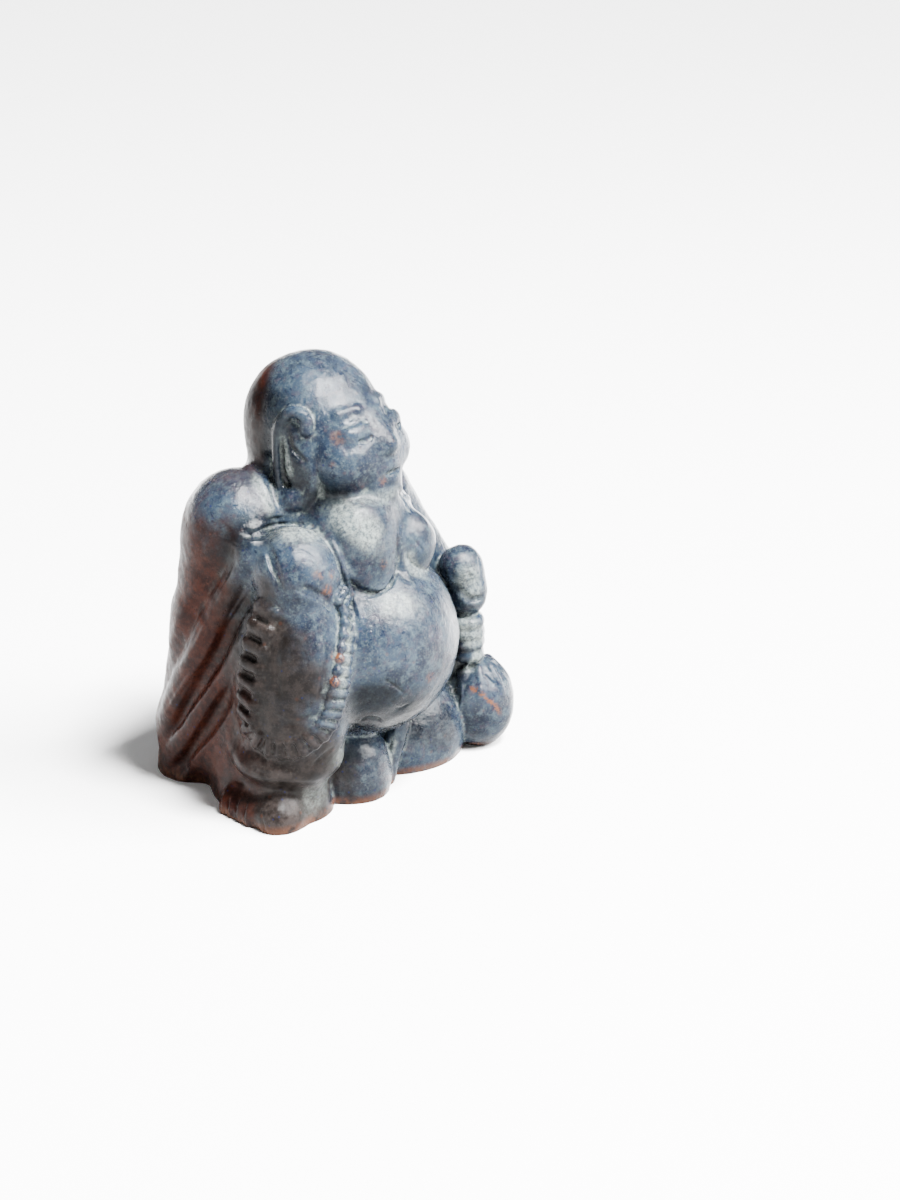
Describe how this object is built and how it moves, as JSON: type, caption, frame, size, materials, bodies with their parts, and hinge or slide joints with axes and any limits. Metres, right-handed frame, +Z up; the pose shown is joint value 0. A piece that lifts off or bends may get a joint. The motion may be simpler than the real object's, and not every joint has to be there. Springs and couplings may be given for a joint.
{
  "type": "budai figure",
  "caption": "Small carved stone figure of a seated, pot-bellied monk with a raised knee, prayer beads and a cloth sack, standing on its flat underside.",
  "frame": {"origin": "middle of the figure's bounding box, on the ground plane that it stands on", "axes": "+Z up from the flat underside to the crown of the head, the figure looks along -Y, its left side is towards +X"},
  "size_m": [0.0436, 0.035, 0.056],
  "materials": {
    "blue_stone": "waxy polish over mottled blue-grey stone, paler and rougher in the cut furrows"
  },
  "bodies": {
    "root": {"budai_figure": "blue_stone"}
  },
  "joints": []
}
